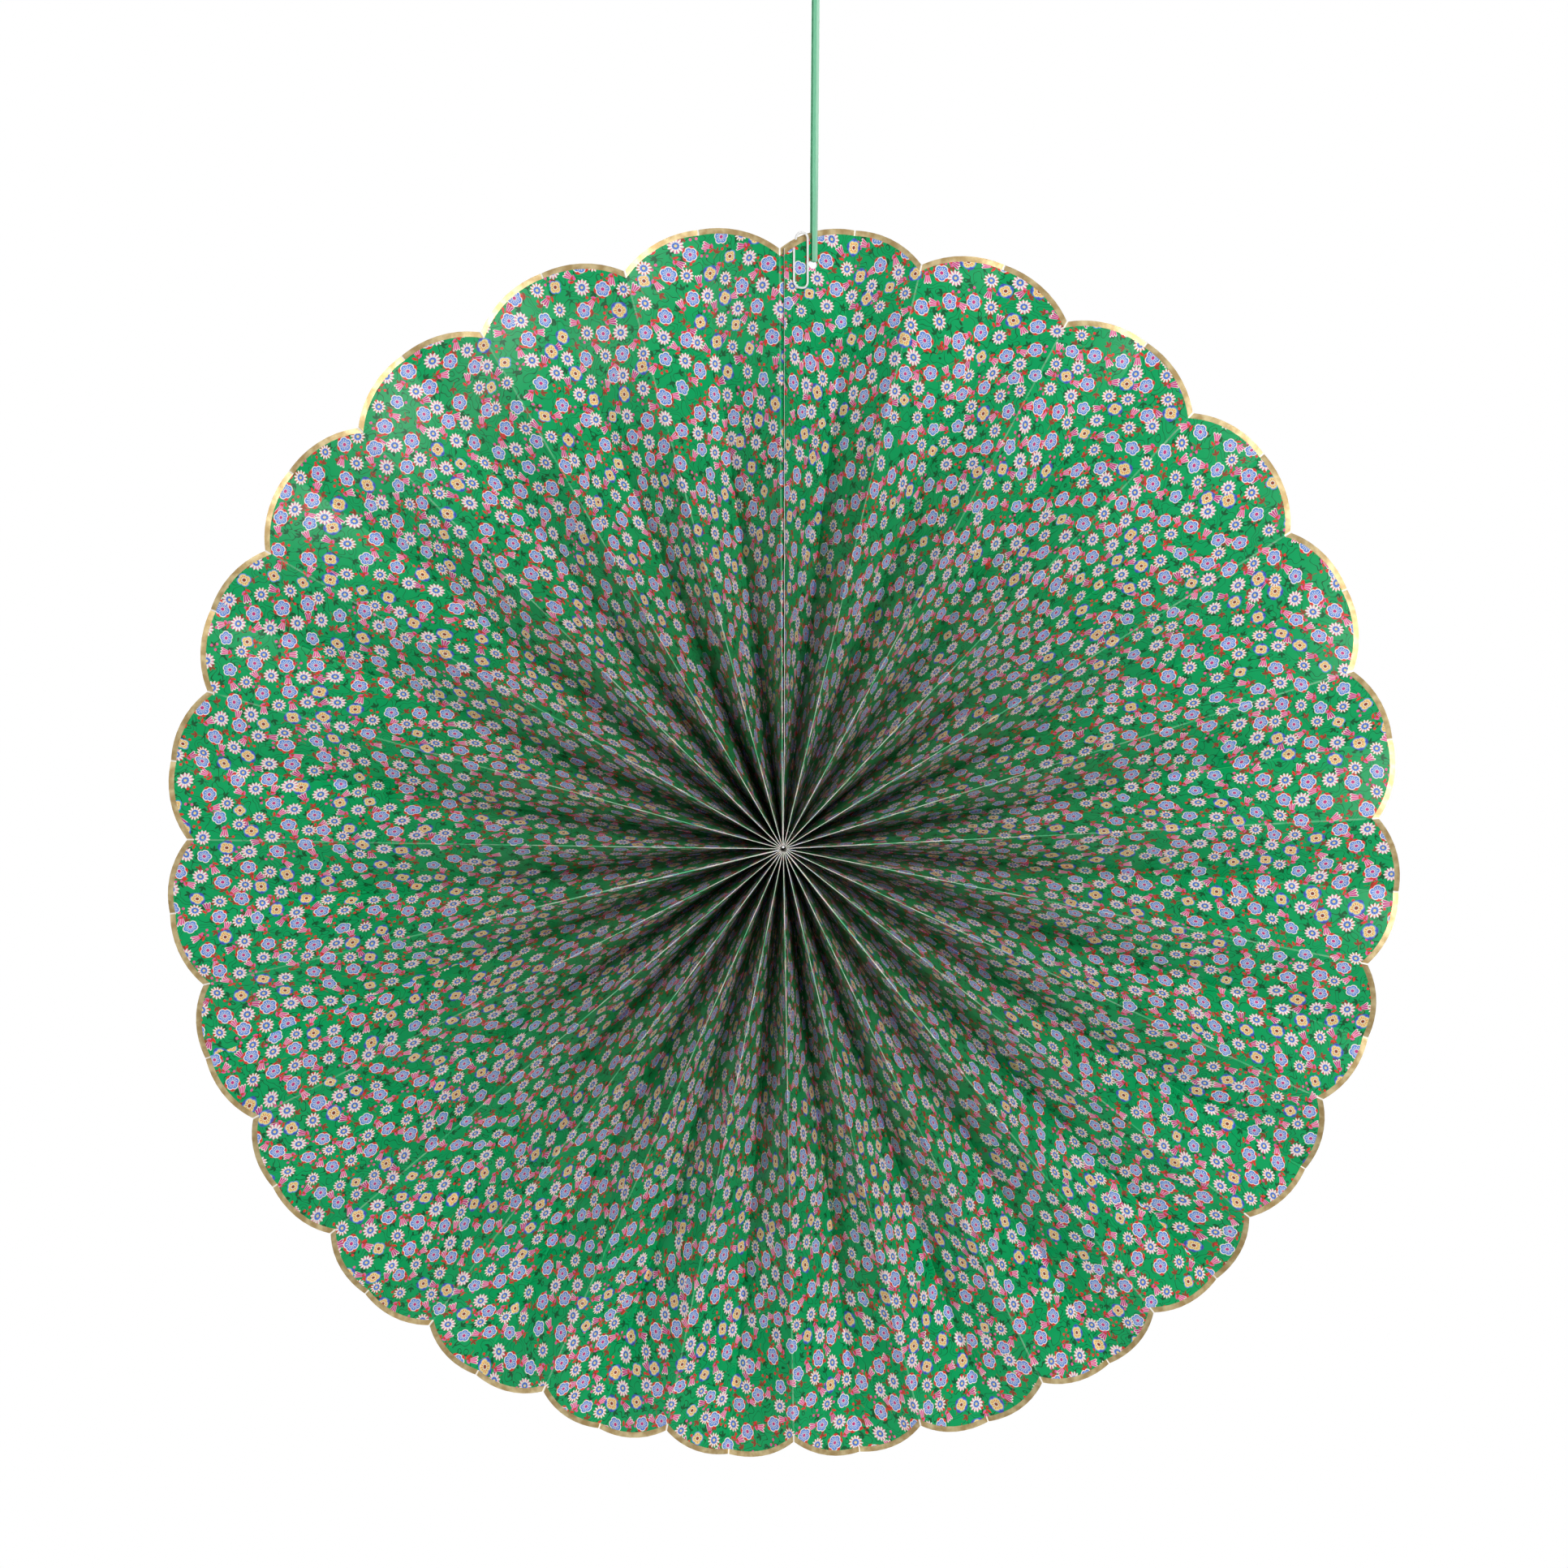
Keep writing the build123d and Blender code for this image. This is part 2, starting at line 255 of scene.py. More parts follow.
class Flow:
    """A number flowing through a node tree."""

    def __init__(self, tree, socket):
        self.tree, self.socket = tree, socket

    def math(self, operation, *others):
        inputs = dict(enumerate((self, *others)))
        node = add_node(self.tree, "ShaderNodeMath", inputs, operation=operation)
        return Flow(self.tree, node.outputs[0])

    def __add__(self, other):
        return self.math("ADD", other)

    def __sub__(self, other):
        return self.math("SUBTRACT", other)

    def __mul__(self, other):
        return self.math("MULTIPLY", other)

    def __truediv__(self, other):
        return self.math("DIVIDE", other)

    def __neg__(self):
        return self * -1

    __radd__, __rmul__ = __add__, __mul__

    def __rsub__(self, other):
        return -self + other

    def sqrt(self):
        return self.math("SQRT")

    def sin(self):
        return self.math("SINE")

    def cos(self):
        return self.math("COSINE")

    def abs(self):
        return self.math("ABSOLUTE")

    def floor(self):
        return self.math("FLOOR")

    def over(self, limit):
        """1 above a limit, 0 below."""
        return self.math("GREATER_THAN", limit)

    def under(self, limit):
        """1 below a limit, 0 above."""
        return self.math("LESS_THAN", limit)

    def to(self, other, share):
        """The way from this number to another, a share of it."""
        return self + (other - self) * share

    def ramp(self, low, high):
        """0 at one value and 1 at another, with soft ends."""
        inputs = {"Value": self, "From Min": low, "From Max": high}
        soft = {"interpolation_type": "SMOOTHSTEP"}
        node = add_node(self.tree, "ShaderNodeMapRange", inputs, **soft)
        return Flow(self.tree, node.outputs["Result"])


def split(tree, socket):
    """The three numbers of a vector."""
    node = add_node(tree, "ShaderNodeSeparateXYZ", {0: socket})
    return [Flow(tree, output) for output in node.outputs]


def joined(tree, *numbers):
    """A vector from up to three numbers."""
    return add_node(tree, "ShaderNodeCombineXYZ", dict(enumerate(numbers))).outputs[0]


print("formula helper ready")

# %% [markdown]
# ## Finishes: a start
#
# Each finish is one Principled shader. Numbers that are the same all over the piece are set on the
# shader itself, and only what varies is linked. Fine fibre or grain goes into a bump. A noise is
# told its scale, in waves for each unit of its vector, and how many finer octaves it has.

# %% Define the shader helpers


def new_finish(name, roughness, **sockets):
    """A material whose Principled shader has plain values."""
    finish = bpy.data.materials.new(name)
    finish.use_nodes = True
    shader = finish.node_tree.nodes["Principled BSDF"]
    shader.inputs["Roughness"].default_value = roughness
    for label, value in sockets.items():
        shader.inputs[label.replace("_", " ")].default_value = value
    return finish, finish.node_tree, shader


def colour_mix(tree, share, first, second):
    """A colour between two others."""
    inputs = {"Factor": share, "A": first, "B": second}
    return add_node(tree, "ShaderNodeMix", inputs, data_type="RGBA").outputs["Result"]


def noise(tree, vector, scale, detail):
    """Soft random numbers from 0 to 1 over a surface."""
    inputs = {"Vector": vector, "Scale": scale, "Detail": detail}
    return Flow(tree, add_node(tree, "ShaderNodeTexNoise", inputs).outputs["Fac"])


def add_bump(tree, shader, height, strength, distance):
    """Fine relief on the shader, as deep as the distance."""
    inputs = {"Height": height, "Strength": strength, "Distance": distance}
    bump = add_node(tree, "ShaderNodeBump", inputs)
    tree.links.new(bump.outputs["Normal"], shader.inputs["Normal"])


def object_place(tree):
    """The spot in the object's own space."""
    return tree.nodes.new("ShaderNodeTexCoord").outputs["Object"]


def attribute(tree, name):
    """The numbers that the mesh keeps under a name."""
    return add_node(tree, "ShaderNodeAttribute", {}, attribute_name=name).outputs["Vector"]


def uv_place(tree):
    """The spot on the piece laid flat."""
    return add_node(tree, "ShaderNodeUVMap", {}, uv_map="UVMap").outputs["UV"]


def srgb(red, green, blue):
    """A colour as a screen shows it, 0 to 255, in the linear values that shaders use."""
    share = [value / 255 for value in (red, green, blue)]
    linear = [s / 12.92 if s <= 0.04045 else ((s + 0.055) / 1.055) ** 2.4 for s in share]
    return (*linear, 1.0)


print("shader helpers ready")

# %% [markdown]
# ## Light and room
#
# The photo has an even white room with its strongest light from the right and a pale floor that
# throws light back up. So the world gives a little soft light from all round and shows plain white
# to the camera and to shiny surfaces. A tall lamp a little right of the camera shines far into the
# valleys on one side, so they are dark near the hub and hardly show at the rim. One lamp lights the
# top, a weaker one at the far left picks out the ridges, and one lights the back.
#
# Each lamp has a place, a width and height, all in metres, and a power in watts. It is aimed at the
# hub.

# %% Build the light
WORLD_LIGHT = 0.012
LAMPS = {
    "key_lamp": ((1.2, -2.65, -0.45), (0.5, 1.6), 35),
    "top_lamp": ((0.6, -1.9, 1.4), (1.0, 0.9), 26),
    "fill_lamp": ((-2.3, -1.9, -0.3), (0.6, 1.6), 19),
    "back_lamp": ((0.6, 2.4, 1.0), (1.8, 1.4), 66),
}


def seen_directly(tree):
    """1 for rays from the camera, from a shiny surface or through glass, 0 for soft light."""
    path = tree.nodes.new("ShaderNodeLightPath").outputs
    shiny = Flow(tree, path["Is Glossy Ray"]).math("MAXIMUM", path["Is Transmission Ray"])
    return shiny.math("MAXIMUM", path["Is Camera Ray"])


def build_world():
    """Plain white where it is seen, and a little soft light all round."""
    world = bpy.data.worlds.new("white_room")
    bpy.context.scene.world = world
    world.use_nodes = True
    tree = world.node_tree
    strength = seen_directly(tree) * (1 - WORLD_LIGHT) + WORLD_LIGHT
    room = tree.nodes["Background"]
    room.inputs["Color"].default_value = (1, 1, 1, 1)
    tree.links.new(strength.socket, room.inputs["Strength"])


def build_lamps():
    """The soft rectangular lamps."""
    for name, (place, (wide, tall), power) in LAMPS.items():
        data = bpy.data.lights.new(name, "AREA")
        data.shape = "RECTANGLE"
        data.size, data.size_y = wide, tall
        data.energy = power
        lamp = new_object(name, data)
        lamp.location = place
        lamp.rotation_euler = (-Vector(place)).to_track_quat("-Z", "Y").to_euler()


build_world()
build_lamps()
bpy.context.scene.view_settings.view_transform = "Standard"
print("lamps:", len(LAMPS))

# %% [markdown]
# A pale floor lies well below the medallion, with its centre under the hub. A light haze of white
# lies over it where the camera sees it, and thickens towards the edge, so that it shows no rim. The
# haze is no light on the card: soft light meets the paint alone.

# %% Lay the floor
FLOOR_HEIGHT = -1.15
FLOOR_RADIUS = 1.6
FLOOR_COLOUR = (0.86, 0.86, 0.85, 1)
FLOOR_HAZE = 0.4
HAZE_GROWS_FROM = 0.5
HAZE_FULL_FROM = 0.97 * FLOOR_RADIUS


def floor_paint():
    """Pale paint that turns white towards the floor's edge."""
    paint, tree, surface = new_finish("pale_floor", 0.8, Base_Color=FLOOR_COLOUR)
    x, y, _ = split(tree, object_place(tree))
    growth = (x * x + y * y).sqrt().ramp(HAZE_GROWS_FROM, HAZE_FULL_FROM)
    haze = (growth * (1 - FLOOR_HAZE) + FLOOR_HAZE) * seen_directly(tree)
    white = tree.nodes.new("ShaderNodeEmission").outputs["Emission"]
    inputs = {"Fac": haze, 1: surface.outputs["BSDF"], 2: white}
    blend = add_node(tree, "ShaderNodeMixShader", inputs).outputs["Shader"]
    tree.links.new(blend, tree.nodes["Material Output"].inputs["Surface"])
    return paint


def build_floor():
    """The round floor."""
    build = bmesh.new()
    bmesh.ops.create_circle(build, cap_ends=True, segments=96, radius=FLOOR_RADIUS)
    bmesh.ops.translate(build, vec=(0, 0, FLOOR_HEIGHT), verts=build.verts)
    floor = built("floor", build)
    floor.data.materials.append(floor_paint())
    return floor


floor = build_floor()
print("floor height in metres:", FLOOR_HEIGHT)

# %% [markdown]
# ## The printed flowers
#
# The card carries a dense little flower print on green. Each kind of motif is scattered by a
# Voronoi texture, which gives for every spot the nearest point of a jittered grid and random
# numbers for it. The spot is turned into distance and angle from that point, and a flower is then
# one formula: its edge moves in and out with the angle, once for each petal. Leaves use the turned
# x and y instead. All of it reads the flat UV map of the card, so the print folds with the paper.
# The motifs' lengths are millimetres on the flat card, and each motif is a share from 0, bare, to
# 1, inked.

# %% Define the motif helpers
SOFT_EDGE = 0.08


def scatter(tree, across, along, size, jitter, shift):
    """x, y, distance and angle from the nearest scattered point, and its three random numbers."""
    spot = joined(tree, across / size + shift[0], along / size + shift[1])
    node = tree.nodes.new("ShaderNodeTexVoronoi")
    node.voronoi_dimensions = "2D"
    node.inputs["Scale"].default_value = 1.0
    node.inputs["Randomness"].default_value = jitter
    tree.links.new(spot, node.inputs["Vector"])
    near_x, near_y, _ = split(tree, node.outputs["Position"])
    spot_x, spot_y, _ = split(tree, spot)
    chances = split(tree, node.outputs["Color"])
    x, y = (spot_x - near_x) * size, (spot_y - near_y) * size
    far = (x * x + y * y).sqrt()
    angle = y.math("ARCTAN2", x) + chances[0] * 2 * pi
    return far * angle.cos(), far * angle.sin(), far, angle, chances


def inside(distance):
    """1 where a distance is above 0, with a narrow soft edge."""
    return distance.ramp(-SOFT_EDGE, SOFT_EDGE)


def petals_edge(angle, count, radius, depth, roundness=0.5):
    """How far a flower's petals reach at an angle."""
    wave = (angle * count / 2).cos().abs().math("POWER", roundness)
    return wave * (radius * depth) + radius * (1 - depth)


def turned(x, y, degrees):
    """The same spot in axes that are turned."""
    c, s = cos(radians(degrees)), sin(radians(degrees))
    return x * c + y * s, y * c - x * s


def leaf(x, y, start, length, width):
    """1 on a pointed leaf that lies along x from a start."""
    way = (x - start) / length
    body = way * (1 - way) * (4 * width)
    return inside(body - y.abs())


def stem(x, y, start, end, bend, width):
    """1 on a thin bent stem along x."""
    curve = y - x * x * bend
    return inside(width - curve.abs()) * x.over(start) * x.under(end)


print("motif helpers ready")

# %% [markdown]
# The print is laid down as a printer would: the ground first, then fine dark vines, leaf sprigs
# and berries, then bell flowers, and the open flowers on top. The colours are a grass green ground
# with blue, white, pink, red and soft yellow. The three kinds of flower have grids of one step,
# each set off from the others by half a step, so they fill the gaps and rarely hide one another.
# The whole print lies turned on the card, and a slow noise lets its rows wander.

# %% Define the print's colours
PRINT = {
    "ground": (0, 166, 96),
    "vine": (14, 86, 48),
    "leaf": (16, 90, 50),
    "brown": (150, 70, 48),
    "red": (226, 58, 52),
    "rose": (236, 98, 160),
    "white": (250, 242, 234),
    "blue": (102, 150, 230),
    "deep_blue": (70, 88, 186),
    "yellow": (250, 224, 150),
    "magenta": (206, 60, 140),
}
INK = {name: srgb(*value) for name, value in PRINT.items()}
MOTIF_STEP = 15.0
FLOWER_JITTER = 0.36
PRINT_TURN_DEGREES = 28


def print_colour(tree, ground):
    """Colour of the flower print at each spot of the flat card."""
    across, along, _ = split(tree, uv_place(tree))
    across, along = across / MM, along / MM
    wander = noise(tree, joined(tree, across, along), 0.022, 0.0) - 0.5
    across, along = turned(across + wander * 9, along - wander * 7, PRINT_TURN_DEGREES)
    colour = vines(tree, across, along, ground)
    colour = leaf_sprigs(tree, across, along, colour)
    colour = berries(tree, across, along, colour)
    colour = bells(tree, across, along, colour)
    colour = blossoms(tree, across, along, colour)
    return daisies(tree, across, along, colour)


def vines(tree, across, along, colour):
    """Thin dark vines that wind over the ground."""
    field = noise(tree, joined(tree, across, along, 4.0), 0.11, 1.0)
    for level in (0.40, 0.50, 0.60):
        line = 1 - ((field - level).abs()).ramp(0.004, 0.009)
        colour = colour_mix(tree, line, colour, INK["vine"])
    return colour


def leaf_sprigs(tree, across, along, colour):
    """Sprigs of three leaves, some green and some brown."""
    x, y, _, _, chances = scatter(tree, across, along, MOTIF_STEP * 0.55, 0.5, (0.2, 0.4))
    tint = colour_mix(tree, chances[1].over(0.55), INK["leaf"], INK["brown"])
    colour = colour_mix(tree, stem(x, y, -3.2, 1.0, 0.05, 0.15), colour, tint)
    for degrees, length in ((-46, 2.5), (46, 2.5), (0, 3.3)):
        side_x, side_y = turned(x + 0.6, y, degrees)
        blade = leaf(side_x, side_y, 0.1, length, 0.56)
        colour = colour_mix(tree, blade, colour, tint)
    return colour


def berries(tree, across, along, colour):
    """Red or pink berries in threes on thin stems."""
    x, y, far, angle, chances = scatter(tree, across, along, MOTIF_STEP * 0.72, 0.5, (0.35, 0.1))
    third = (angle / (2 * pi / 3)).math("FRACT") - 0.5
    aside = third * (2 * pi / 3)
    out, off = far * aside.cos() - 1.75, far * aside.sin()
    shown = chances[1].over(0.2)
    twig = inside(0.14 - off.abs()) * out.under(0.0) * shown
    berry = inside(0.72 - (out * out + off * off).sqrt()) * shown
    tint = colour_mix(tree, chances[2].over(0.6), INK["red"], INK["rose"])
    colour = colour_mix(tree, twig, colour, INK["brown"])
    return colour_mix(tree, berry, colour, tint)


def bells(tree, across, along, colour):
    """Bell flowers: a pink cup, white veins, a toothed mouth, a red cap, a stem and two leaves."""
    x, y, _, _, chances = scatter(tree, across, along, MOTIF_STEP, FLOWER_JITTER, (0.5, 0.0))
    x = x - 0.8
    colour = colour_mix(tree, stem(x, y, -5.0, -1.0, 0.06, 0.17), colour, INK["brown"])
    side_x, side_y = turned(x + 3.6, y - 0.6, 48)
    colour = colour_mix(tree, leaf(side_x, side_y, 0.0, 3.0, 0.62), colour, INK["red"])
    side_x, side_y = turned(x + 3.0, y - 0.4, -52)
    colour = colour_mix(tree, leaf(side_x, side_y, 0.0, 2.8, 0.62), colour, INK["rose"])
    half = (x + 2.0) * 0.30 + 0.75
    mouth = (y * 2.1).cos().abs() * 0.9 + 2.2
    cup = inside(half - y.abs()) * inside(mouth - x) * x.over(-2.0)
    vein = 1 - (((y / half) * 1.6).math("PINGPONG", 0.5) - 0.5).abs().ramp(0.05, 0.16)
    lip = inside(x - mouth + 0.55)
    cup_tint = colour_mix(tree, chances[1].over(0.62), INK["rose"], INK["magenta"])
    colour = colour_mix(tree, cup, colour, cup_tint)
    colour = colour_mix(tree, cup * (vein * 0.9).math("MAXIMUM", lip), colour, INK["white"])
    cap = cup * inside(-1.1 - x)
    return colour_mix(tree, cap, colour, INK["red"])


def blossoms(tree, across, along, colour):
    """Five or four round petals, outlined and streaked, over a red or deep blue calyx."""
    _, _, far, angle, chances = scatter(tree, across, along, MOTIF_STEP, FLOWER_JITTER, (0.0, 0.0))
    small = chances[1].over(0.70)
    count = 5 - small
    size = 3.15 - small * 0.35 + chances[2] * 0.5
    calyx = petals_edge(angle + (small * 0.157 + 0.628), count, size + 1.05, 0.42)
    edge = petals_edge(angle, count, size, 0.30)
    calyx_tint = colour_mix(tree, small, INK["red"], INK["deep_blue"])
    colour = colour_mix(tree, inside(calyx - far) * chances[2].over(0.25), colour, calyx_tint)
    outline_tint = colour_mix(tree, small, INK["white"], INK["blue"])
    colour = colour_mix(tree, inside(edge + 0.5 - far), colour, outline_tint)
    petal_tint = colour_mix(tree, small, INK["blue"], INK["yellow"])
    colour = colour_mix(tree, inside(edge - far), colour, petal_tint)
    streak = (angle * count * 3).cos().over(0.45) * inside(edge - 0.7 - far) * far.over(1.3)
    streak_tint = colour_mix(tree, small, INK["white"], INK["red"])
    colour = colour_mix(tree, streak * 0.85, colour, streak_tint)
    heart_tint = colour_mix(tree, small, INK["magenta"], INK["brown"])
    colour = colour_mix(tree, inside(1.15 - far), colour, INK["white"])
    return colour_mix(tree, inside(0.85 - far), colour, heart_tint)


def daisies(tree, across, along, colour):
    """Daisies: a red or pink disc, twelve narrow white petals, a blue heart, a yellow middle."""
    _, _, far, angle, chances = scatter(tree, across, along, MOTIF_STEP, FLOWER_JITTER, (0.5, 0.5))
    shown = chances[1].over(0.22)
    size = 3.0 + chances[2] * 0.7
    edge = petals_edge(angle, 12, size + 0.45, 0.6, 1.0)
    disc = inside(size * 0.92 - far) * shown
    disc_tint = colour_mix(tree, chances[2].over(0.5), INK["red"], INK["rose"])
    colour = colour_mix(tree, disc, colour, disc_tint)
    colour = colour_mix(tree, inside(edge - far) * shown, colour, INK["white"])
    colour = colour_mix(tree, inside(1.75 - far) * shown, colour, INK["blue"])
    dots = (angle * 8).cos().over(0.0) * far.under(1.45) * far.over(0.85) * shown
    colour = colour_mix(tree, dots, colour, INK["deep_blue"])
    return colour_mix(tree, inside(0.7 - far) * shown, colour, INK["yellow"])


print("print colours:", len(INK))

# %% [markdown]
# ## The card's four surfaces
#
# The front is coated, so it has a satin shine. Where the card is folded the coating cracks and
# shows the tinted or white core, most along the sharp ridges near the hub. Towards the hub the print
# and its ground are also darkened and browned, as painted shade for the deep, narrow valleys there.
# The attribute "place" holds for each spot its distance from the ridge and from the scalloped edge,
# and the UV map's second number is the radius. The foil is a thin metal layer along the scallops,
# which also cracks at the folds. The back and the cut edges are bare card with fine fibres.
#
# The lengths named below are millimetres. A pair tells where a crack, or the painted shade near the
# hub, starts to die out and where it has gone, and the cracks' edges wander by the ragged length. The
# other numbers are shares of a colour.

# %% Make the card finishes
RIDGE_CRACK = (0.075, 0.15)
RAGGED_LENGTH = 0.25
CRACKED_RADII = (40.0, 170.0)
CRACK_EVERYWHERE = 0.16
CRACK_NEAR_HUB = 0.6
WHITE_CORE_RADII = (6.0, 40.0)
# Painted shade near the hub: its radii, its shares on the ground and the print, and its brown
# colours.
HUB_SHADE_RADII = (20.0, 250.0)
HUB_SHADE_GROUND_SHARE = 0.16
HUB_SHADE_PRINT_SHARE = 0.2
HUB_SHADE_INK = srgb(92, 54, 6)
HUB_SHADE_GROUND = srgb(46, 44, 14)
CORE_TINTED = srgb(104, 210, 156)
CORE_WHITE = srgb(244, 240, 232)
FOIL = srgb(200, 181, 136)
FOIL_DEEP = srgb(160, 134, 86)
FOIL_CRACK = (0.10, 0.35)
FOLD_WHITE = srgb(248, 244, 236)


def near_hub(radius, radii):
    """1 inside the first radius, dying out to 0 at the second."""
    return 1 - radius.ramp(*radii)


def printed_finish():
    """Coated card with its print, cracked along the ridges and with painted shade near the hub."""
    finish, tree, shader = new_finish("printed_card", 0.34, Specular_IOR_Level=0.2)
    from_ridge, _, _ = split(tree, attribute(tree, "place"))
    _, radius, _ = split(tree, uv_place(tree))
    radius = radius / MM
    # Painted shade: the ground and the print darken to brown towards the hub, where the valleys are
    # deep.
    hub_shade = near_hub(radius, HUB_SHADE_RADII)
    ground = colour_mix(tree, hub_shade * HUB_SHADE_GROUND_SHARE, INK["ground"], HUB_SHADE_GROUND)
    colour = colour_mix(tree, hub_shade * HUB_SHADE_PRINT_SHARE, print_colour(tree, ground), HUB_SHADE_INK)
    ragged = noise(tree, uv_place(tree), 900.0, 3.0) * RAGGED_LENGTH
    crack = 1 - (from_ridge / MM - ragged).ramp(*RIDGE_CRACK)
    crack = crack * (near_hub(radius, CRACKED_RADII) * CRACK_NEAR_HUB + CRACK_EVERYWHERE)
    worn = noise(tree, joined(tree, radius), 0.05, 3.0).ramp(0.42, 0.58)
    worn = worn.math("MAXIMUM", near_hub(radius, WHITE_CORE_RADII))
    core = colour_mix(tree, worn, CORE_TINTED, CORE_WHITE)
    colour = colour_mix(tree, crack, colour, core)
    tree.links.new(colour, shader.inputs["Base Color"])
    add_bump(tree, shader, noise(tree, uv_place(tree), 2600.0, 3.0), 0.12, 0.05 * MM)
    return finish


def foil_finish(panel_width):
    """Lightly brushed gold foil, cracked white at both folds of a panel."""
    finish, tree, shader = new_finish("gold_foil", 0.3)
    from_ridge, _, _ = split(tree, attribute(tree, "place"))
    from_fold = (from_ridge / MM).math("MINIMUM", panel_width / MM - from_ridge / MM)
    crack = (1 - from_fold.ramp(*FOIL_CRACK)) * 0.8
    brushed = noise(tree, uv_place(tree), 180.0, 3.0)
    colour = colour_mix(tree, brushed.ramp(0.35, 0.7), FOIL_DEEP, FOIL)
    colour = colour_mix(tree, crack, colour, FOLD_WHITE)
    tree.links.new(colour, shader.inputs["Base Color"])
    tree.links.new((0.55 - crack * 0.5).socket, shader.inputs["Metallic"])
    add_bump(tree, shader, noise(tree, uv_place(tree), 700.0, 2.0), 0.1, 0.05 * MM)
    return finish


def bare_card_finish(name, colour, other):
    """Uncoated card, mottled by its fibres between two near colours."""
    finish, tree, shader = new_finish(name, 0.75)
    fibres = noise(tree, uv_place(tree), 1400.0, 5.0)
    mottled = colour_mix(tree, fibres.ramp(0.3, 0.7), colour, other)
    tree.links.new(mottled, shader.inputs["Base Color"])
    add_bump(tree, shader, fibres, 0.2, 0.06 * MM)
    return finish


print("card finishes defined")

# %% [markdown]
# ## The sizes of the folded card
#
# The strip is folded into 52 panels of one width. Opened into a disc, each fold gets an angle at
# the rim. The disc hangs by its top, so it sags: its folds stand further apart at the top than at
# the bottom, as a slow sine, and the lap at the top holds the first folds back a little. Where two
# folds are far apart the panels between them lie flatter, so the depth of the folds at the rim
# follows from the panel width and the gap, with a little play as in real folding. These few numbers
# are worked out in plain Python, one row for each fold, and given to the tree below as attributes
# of a small mesh.

# %% Work out the folds
CARD = 0.2 * MM
CREASE = 0.3 * MM
SCALLOPS = 26
NOTCH_RADIUS = 288.0 * MM
SCALLOP_DEPTH = 14.0 * MM
RIM_DEPTH = 10.5 * MM
SAG_DEGREES = 5.6
SAG_TWIST_DEGREES = 0.43
LAP_DEGREES = 1.7
LAP_EASE = 0.8
SEAM_FOLDS = (19, 37)
DEPTH_PLAY = 0.5 * MM
PLAY_SEED = 7
FOLDS = 2 * SCALLOPS
LAYERS = FOLDS + len(SEAM_FOLDS) + 1
LAYER_PITCH = 1.12 * CARD
HUB_RADIUS = LAYERS * LAYER_PITCH / (2 * pi)


def fold_angle(fold):
    """Angle of a fold at the rim, clockwise from the top."""
    if fold == 0:
        return 0.0
    if fold > FOLDS:
        return 2 * pi + fold_angle(fold - FOLDS)
    if fold == 1:
        return fold_angle(2) / 2
    turn = 2 * pi * fold / FOLDS
    sag = SAG_DEGREES * sin(turn) - SAG_TWIST_DEGREES * sin(2 * turn)
    return turn + radians(sag - LAP_DEGREES * (1 - LAP_EASE * fold / FOLDS))


def rim_chord(fold):
    """Width across one panel at a fold, seen from the front at the rim."""
    fold = fold - FOLDS if fold > FOLDS else fold
    last_pitch = fold_angle(FOLDS) - fold_angle(FOLDS - 1)
    before = fold_angle(fold - 1) if fold > 0 else -last_pitch
    after = fold_angle(fold + 1) if fold < FOLDS else fold_angle(FOLDS) + fold_angle(1)
    return (after - before) / 2 * NOTCH_RADIUS - CREASE


PANEL_WIDTH = hypot(max(rim_chord(fold) for fold in range(FOLDS)), RIM_DEPTH)


def fold_table():
    """One vertex for each fold, with its angle, its depth at the rim and its place at the hub."""
    random = np.random.default_rng(PLAY_SEED)
    angles, depths, places = [], [], []
    for fold in range(FOLDS + 2):
        play = random.uniform(-DEPTH_PLAY, DEPTH_PLAY)
        near_lap = fold < 2 or fold > FOLDS - 2
        angles.append(fold_angle(fold))
        depths.append(sqrt(PANEL_WIDTH**2 - rim_chord(fold) ** 2) + (0 if near_lap else play))
        places.append(fold + sum(fold > seam for seam in SEAM_FOLDS))
    mesh = bpy.data.meshes.new("folds")
    rim = [(NOTCH_RADIUS * sin(angle), 0, NOTCH_RADIUS * cos(angle)) for angle in angles]
    mesh.from_pydata(rim, [], [])
    for name, values in (("fold_angle", angles), ("rim_depth", depths), ("hub_place", places)):
        mesh.attributes.new(name, "FLOAT", "POINT").data.foreach_set("value", values)
    return mesh


folds = fold_table()
print("folds:", FOLDS, "panel width in mm:", round(PANEL_WIDTH / MM, 2))

# %% [markdown]
# ## The folded card as a rule
#
# The whole folded sheet follows one rule, so it is made by Geometry Nodes. A tree is given its
# sizes as named inputs, and reads the rows of the fold table by their number.

# %% Define the tree helpers


def new_tree(name, sizes):
    """A geometry tree with one geometry input and output and named number inputs."""
    tree = bpy.data.node_groups.new(name, "GeometryNodeTree")
    tree.is_modifier = True
    sockets = tree.interface
    sockets.new_socket("Geometry", in_out="OUTPUT", socket_type="NodeSocketGeometry")
    sockets.new_socket("Geometry", in_out="INPUT", socket_type="NodeSocketGeometry")
    for label, value in sizes.items():
        kind = "NodeSocketInt" if isinstance(value, int) else "NodeSocketFloat"
        sockets.new_socket(label, in_out="INPUT", socket_type=kind).default_value = value
    given = tree.nodes.new("NodeGroupInput").outputs
    return tree, given["Geometry"], {label: Flow(tree, given[label]) for label in sizes}


def set_input(modifier, label, value):
    """Sets a tree's input by the identifier behind its name."""
    for item in modifier.node_group.interface.items_tree:
        if item.item_type == "SOCKET" and item.in_out == "INPUT" and item.name == label:
            modifier[item.identifier] = value


def after(tree, kind, geometry, inputs, **settings):
    """The geometry as one more node leaves it."""
    return add_node(tree, kind, {"Geometry": geometry, **inputs}, **settings).outputs[0]


def rounded(tree, number):
    """The nearest whole number."""
    inputs = {"Float": number}
    return add_node(tree, "FunctionNodeFloatToInt", inputs, rounding_mode="ROUND").outputs[0]


